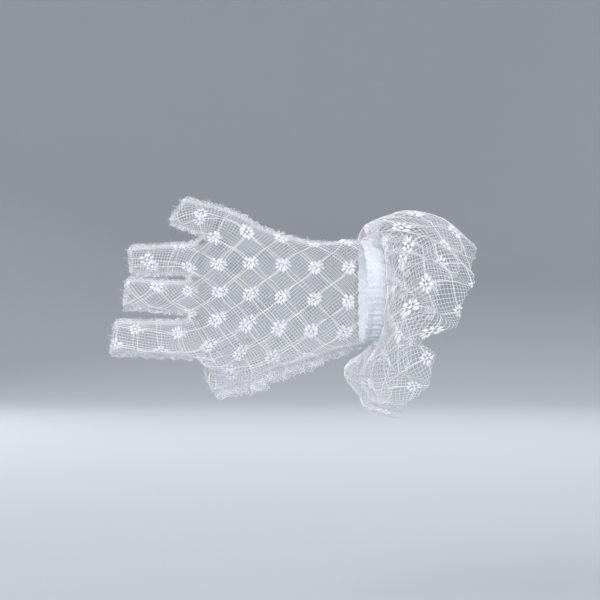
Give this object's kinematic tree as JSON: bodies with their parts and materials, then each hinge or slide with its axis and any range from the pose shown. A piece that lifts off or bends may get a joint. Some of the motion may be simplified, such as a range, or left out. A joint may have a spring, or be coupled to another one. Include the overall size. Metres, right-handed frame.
{
  "type": "fingerless lace glove",
  "caption": "Right-hand fingerless lace glove: back and palm lace, short open finger and thumb stalls that bend, an elastic wrist and a gathered ruffle.",
  "frame": {"origin": "middle of the wrist elastic, on the axis of the wrist", "axes": "+X up the forearm, away from the fingers; +Z to the little-finger side; +Y out of the palm, so the back of the hand faces -Y"},
  "size_m": [0.2152, 0.0826, 0.1333],
  "materials": {
    "lace": "sheer knitted lace",
    "thread": "oversewn polyester thread",
    "elastic": "smooth woven elastic"
  },
  "bodies": {
    "hand": {"back_panel": "lace", "hand_side_stitching": "thread", "index_root": "lace", "little_ring_crotch": "thread", "little_root": "lace", "middle_index_crotch": "thread", "middle_root": "lace", "palm_panel": "lace", "radial_side_seam": "thread", "ring_middle_crotch": "thread", "ring_root": "lace", "ruffle": "lace", "ruffle_heading": "lace", "ruffle_side_stitching": "thread", "thumb_index_seam": "thread", "thumb_root": "lace", "ulnar_side_seam": "thread", "wrist_elastic": "elastic"},
    "little_stall": {"little_radial_seam": "thread", "little_stall_back": "lace", "little_stall_palm": "lace", "little_ulnar_seam": "thread"},
    "ring_stall": {"ring_radial_seam": "thread", "ring_stall_back": "lace", "ring_stall_palm": "lace", "ring_ulnar_seam": "thread"},
    "middle_stall": {"middle_radial_seam": "thread", "middle_stall_back": "lace", "middle_stall_palm": "lace", "middle_ulnar_seam": "thread"},
    "index_stall": {"index_radial_seam": "thread", "index_stall_back": "lace", "index_stall_palm": "lace", "index_ulnar_seam": "thread"},
    "thumb_stall": {"thumb_radial_seam": "thread", "thumb_stall_back": "lace", "thumb_stall_palm": "lace", "thumb_ulnar_seam": "thread"}
  },
  "joints": [
    {"name": "little_stall_bend", "type": "hinge", "parent": "hand", "child": "little_stall", "pos_m": [-0.09954, 0, 0.04447], "axis": [-0.342, 0, -0.9397], "range_deg": [0, 75], "deforming": ["little_root"]},
    {"name": "ring_stall_bend", "type": "hinge", "parent": "hand", "child": "ring_stall", "pos_m": [-0.11019, 0, 0.02036], "axis": [-0.0105, 0, -0.9999], "range_deg": [0, 75], "deforming": ["ring_root"]},
    {"name": "middle_stall_bend", "type": "hinge", "parent": "hand", "child": "middle_stall", "pos_m": [-0.11081, 0, -0.00288], "axis": [-0.0785, 0, -0.9969], "range_deg": [0, 75], "deforming": ["middle_root"]},
    {"name": "index_stall_bend", "type": "hinge", "parent": "hand", "child": "index_stall", "pos_m": [-0.11035, 0, -0.02709], "axis": [-0.0262, 0, -0.9997], "range_deg": [0, 75], "deforming": ["index_root"]},
    {"name": "thumb_stall_bend", "type": "hinge", "parent": "hand", "child": "thumb_stall", "pos_m": [-0.07452, 0.01004, -0.04598], "axis": [0.2756, 0, -0.9613], "range_deg": [0, 50], "deforming": ["thumb_root"]}
  ]
}
